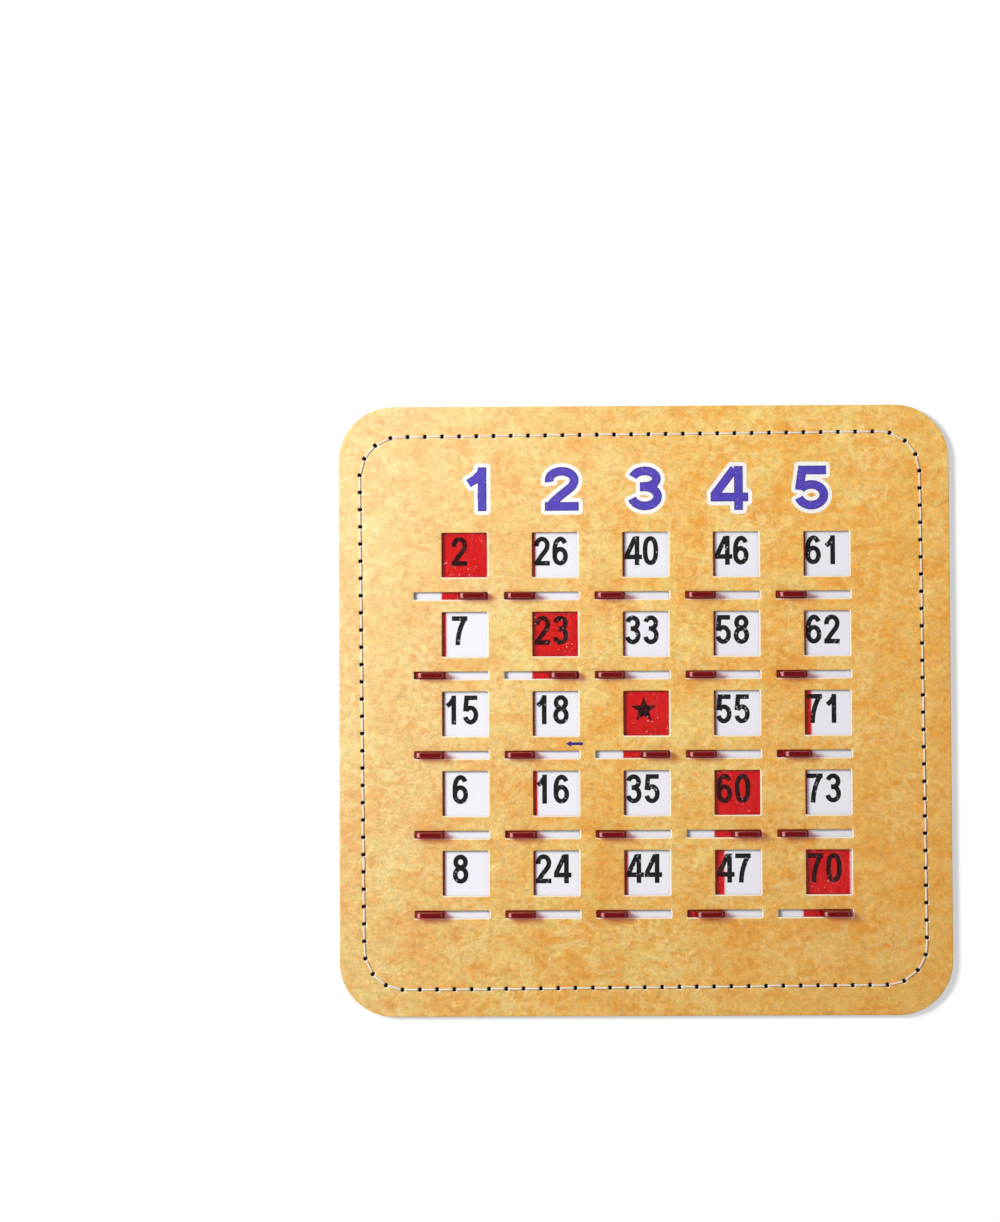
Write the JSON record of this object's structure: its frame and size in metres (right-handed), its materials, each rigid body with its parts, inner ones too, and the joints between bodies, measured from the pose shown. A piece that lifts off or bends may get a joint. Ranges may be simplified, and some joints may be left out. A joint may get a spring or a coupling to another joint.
{
  "type": "shutter bingo card",
  "caption": "Square sewn board game card with a grid of number windows, each covered or opened by its own sliding translucent shutter with a finger tab.",
  "frame": {"origin": "middle of the back face, which the card lies on", "axes": "+X to the card's right, +Y to its heading edge, +Z out of its face"},
  "size_m": [0.19, 0.1894, 0.0074],
  "materials": {
    "leatherette": "tan leather-grain printed and embossed paper, satin",
    "board": "grey-white pulp board, matte",
    "spacer_board": "grey pulp board, matte",
    "number_paper": "white paper with charcoal printed numbers, matte",
    "shutter_plastic": "translucent red moulded plastic, glossy",
    "thread": "off-white twisted sewing thread"
  },
  "bodies": {
    "card": {"back_board": "board", "number_sheet": "number_paper", "spacer_top": "spacer_board", "spacer_bottom": "spacer_board", "spacer_left": "spacer_board", "spacer_right": "spacer_board", "rib_1": "spacer_board", "rib_2": "spacer_board", "rib_3": "spacer_board", "rib_4": "spacer_board", "front_board": "board", "front_facing": "leatherette", "needle_thread": "thread", "bobbin_thread": "thread"},
    "shutter_r1_c1": {"shutter_r1_c1": "shutter_plastic"},
    "shutter_r1_c2": {"shutter_r1_c2": "shutter_plastic"},
    "shutter_r1_c3": {"shutter_r1_c3": "shutter_plastic"},
    "shutter_r1_c4": {"shutter_r1_c4": "shutter_plastic"},
    "shutter_r1_c5": {"shutter_r1_c5": "shutter_plastic"},
    "shutter_r2_c1": {"shutter_r2_c1": "shutter_plastic"},
    "shutter_r2_c2": {"shutter_r2_c2": "shutter_plastic"},
    "shutter_r2_c3": {"shutter_r2_c3": "shutter_plastic"},
    "shutter_r2_c4": {"shutter_r2_c4": "shutter_plastic"},
    "shutter_r2_c5": {"shutter_r2_c5": "shutter_plastic"},
    "shutter_r3_c1": {"shutter_r3_c1": "shutter_plastic"},
    "shutter_r3_c2": {"shutter_r3_c2": "shutter_plastic"},
    "shutter_r3_c3": {"shutter_r3_c3": "shutter_plastic"},
    "shutter_r3_c4": {"shutter_r3_c4": "shutter_plastic"},
    "shutter_r3_c5": {"shutter_r3_c5": "shutter_plastic"},
    "shutter_r4_c1": {"shutter_r4_c1": "shutter_plastic"},
    "shutter_r4_c2": {"shutter_r4_c2": "shutter_plastic"},
    "shutter_r4_c3": {"shutter_r4_c3": "shutter_plastic"},
    "shutter_r4_c4": {"shutter_r4_c4": "shutter_plastic"},
    "shutter_r4_c5": {"shutter_r4_c5": "shutter_plastic"},
    "shutter_r5_c1": {"shutter_r5_c1": "shutter_plastic"},
    "shutter_r5_c2": {"shutter_r5_c2": "shutter_plastic"},
    "shutter_r5_c3": {"shutter_r5_c3": "shutter_plastic"},
    "shutter_r5_c4": {"shutter_r5_c4": "shutter_plastic"},
    "shutter_r5_c5": {"shutter_r5_c5": "shutter_plastic"}
  },
  "joints": [
    {"name": "slide_r1_c1", "type": "slide", "parent": "card", "child": "shutter_r1_c1", "axis": [1, 0, 0], "range_m": [-0.01365, 0]},
    {"name": "slide_r1_c2", "type": "slide", "parent": "card", "child": "shutter_r1_c2", "axis": [1, 0, 0], "range_m": [-0.00027, 0.01338]},
    {"name": "slide_r1_c3", "type": "slide", "parent": "card", "child": "shutter_r1_c3", "axis": [1, 0, 0], "range_m": [0, 0.01365]},
    {"name": "slide_r1_c4", "type": "slide", "parent": "card", "child": "shutter_r1_c4", "axis": [1, 0, 0], "range_m": [0, 0.01365]},
    {"name": "slide_r1_c5", "type": "slide", "parent": "card", "child": "shutter_r1_c5", "axis": [1, 0, 0], "range_m": [0, 0.01365]},
    {"name": "slide_r2_c1", "type": "slide", "parent": "card", "child": "shutter_r2_c1", "axis": [1, 0, 0], "range_m": [-0.00055, 0.0131]},
    {"name": "slide_r2_c2", "type": "slide", "parent": "card", "child": "shutter_r2_c2", "axis": [1, 0, 0], "range_m": [-0.01365, 0]},
    {"name": "slide_r2_c3", "type": "slide", "parent": "card", "child": "shutter_r2_c3", "axis": [1, 0, 0], "range_m": [0, 0.01365]},
    {"name": "slide_r2_c4", "type": "slide", "parent": "card", "child": "shutter_r2_c4", "axis": [1, 0, 0], "range_m": [0, 0.01365]},
    {"name": "slide_r2_c5", "type": "slide", "parent": "card", "child": "shutter_r2_c5", "axis": [1, 0, 0], "range_m": [0, 0.01365]},
    {"name": "slide_r3_c1", "type": "slide", "parent": "card", "child": "shutter_r3_c1", "axis": [1, 0, 0], "range_m": [0, 0.01365]},
    {"name": "slide_r3_c2", "type": "slide", "parent": "card", "child": "shutter_r3_c2", "axis": [1, 0, 0], "range_m": [0, 0.01365]},
    {"name": "slide_r3_c3", "type": "slide", "parent": "card", "child": "shutter_r3_c3", "axis": [1, 0, 0], "range_m": [-0.01365, 0]},
    {"name": "slide_r3_c4", "type": "slide", "parent": "card", "child": "shutter_r3_c4", "axis": [1, 0, 0], "range_m": [0, 0.01365]},
    {"name": "slide_r3_c5", "type": "slide", "parent": "card", "child": "shutter_r3_c5", "axis": [1, 0, 0], "range_m": [-0.00136, 0.01229]},
    {"name": "slide_r4_c1", "type": "slide", "parent": "card", "child": "shutter_r4_c1", "axis": [1, 0, 0], "range_m": [0, 0.01365]},
    {"name": "slide_r4_c2", "type": "slide", "parent": "card", "child": "shutter_r4_c2", "axis": [1, 0, 0], "range_m": [-0.00055, 0.0131]},
    {"name": "slide_r4_c3", "type": "slide", "parent": "card", "child": "shutter_r4_c3", "axis": [1, 0, 0], "range_m": [0, 0.01365]},
    {"name": "slide_r4_c4", "type": "slide", "parent": "card", "child": "shutter_r4_c4", "axis": [1, 0, 0], "range_m": [-0.01365, 0]},
    {"name": "slide_r4_c5", "type": "slide", "parent": "card", "child": "shutter_r4_c5", "axis": [1, 0, 0], "range_m": [0, 0.01365]},
    {"name": "slide_r5_c1", "type": "slide", "parent": "card", "child": "shutter_r5_c1", "axis": [1, 0, 0], "range_m": [0, 0.01365]},
    {"name": "slide_r5_c2", "type": "slide", "parent": "card", "child": "shutter_r5_c2", "axis": [1, 0, 0], "range_m": [0, 0.01365]},
    {"name": "slide_r5_c3", "type": "slide", "parent": "card", "child": "shutter_r5_c3", "axis": [1, 0, 0], "range_m": [-0.00041, 0.01324]},
    {"name": "slide_r5_c4", "type": "slide", "parent": "card", "child": "shutter_r5_c4", "axis": [1, 0, 0], "range_m": [-0.00218, 0.01147]},
    {"name": "slide_r5_c5", "type": "slide", "parent": "card", "child": "shutter_r5_c5", "axis": [1, 0, 0], "range_m": [-0.01297, 0.00068]}
  ]
}
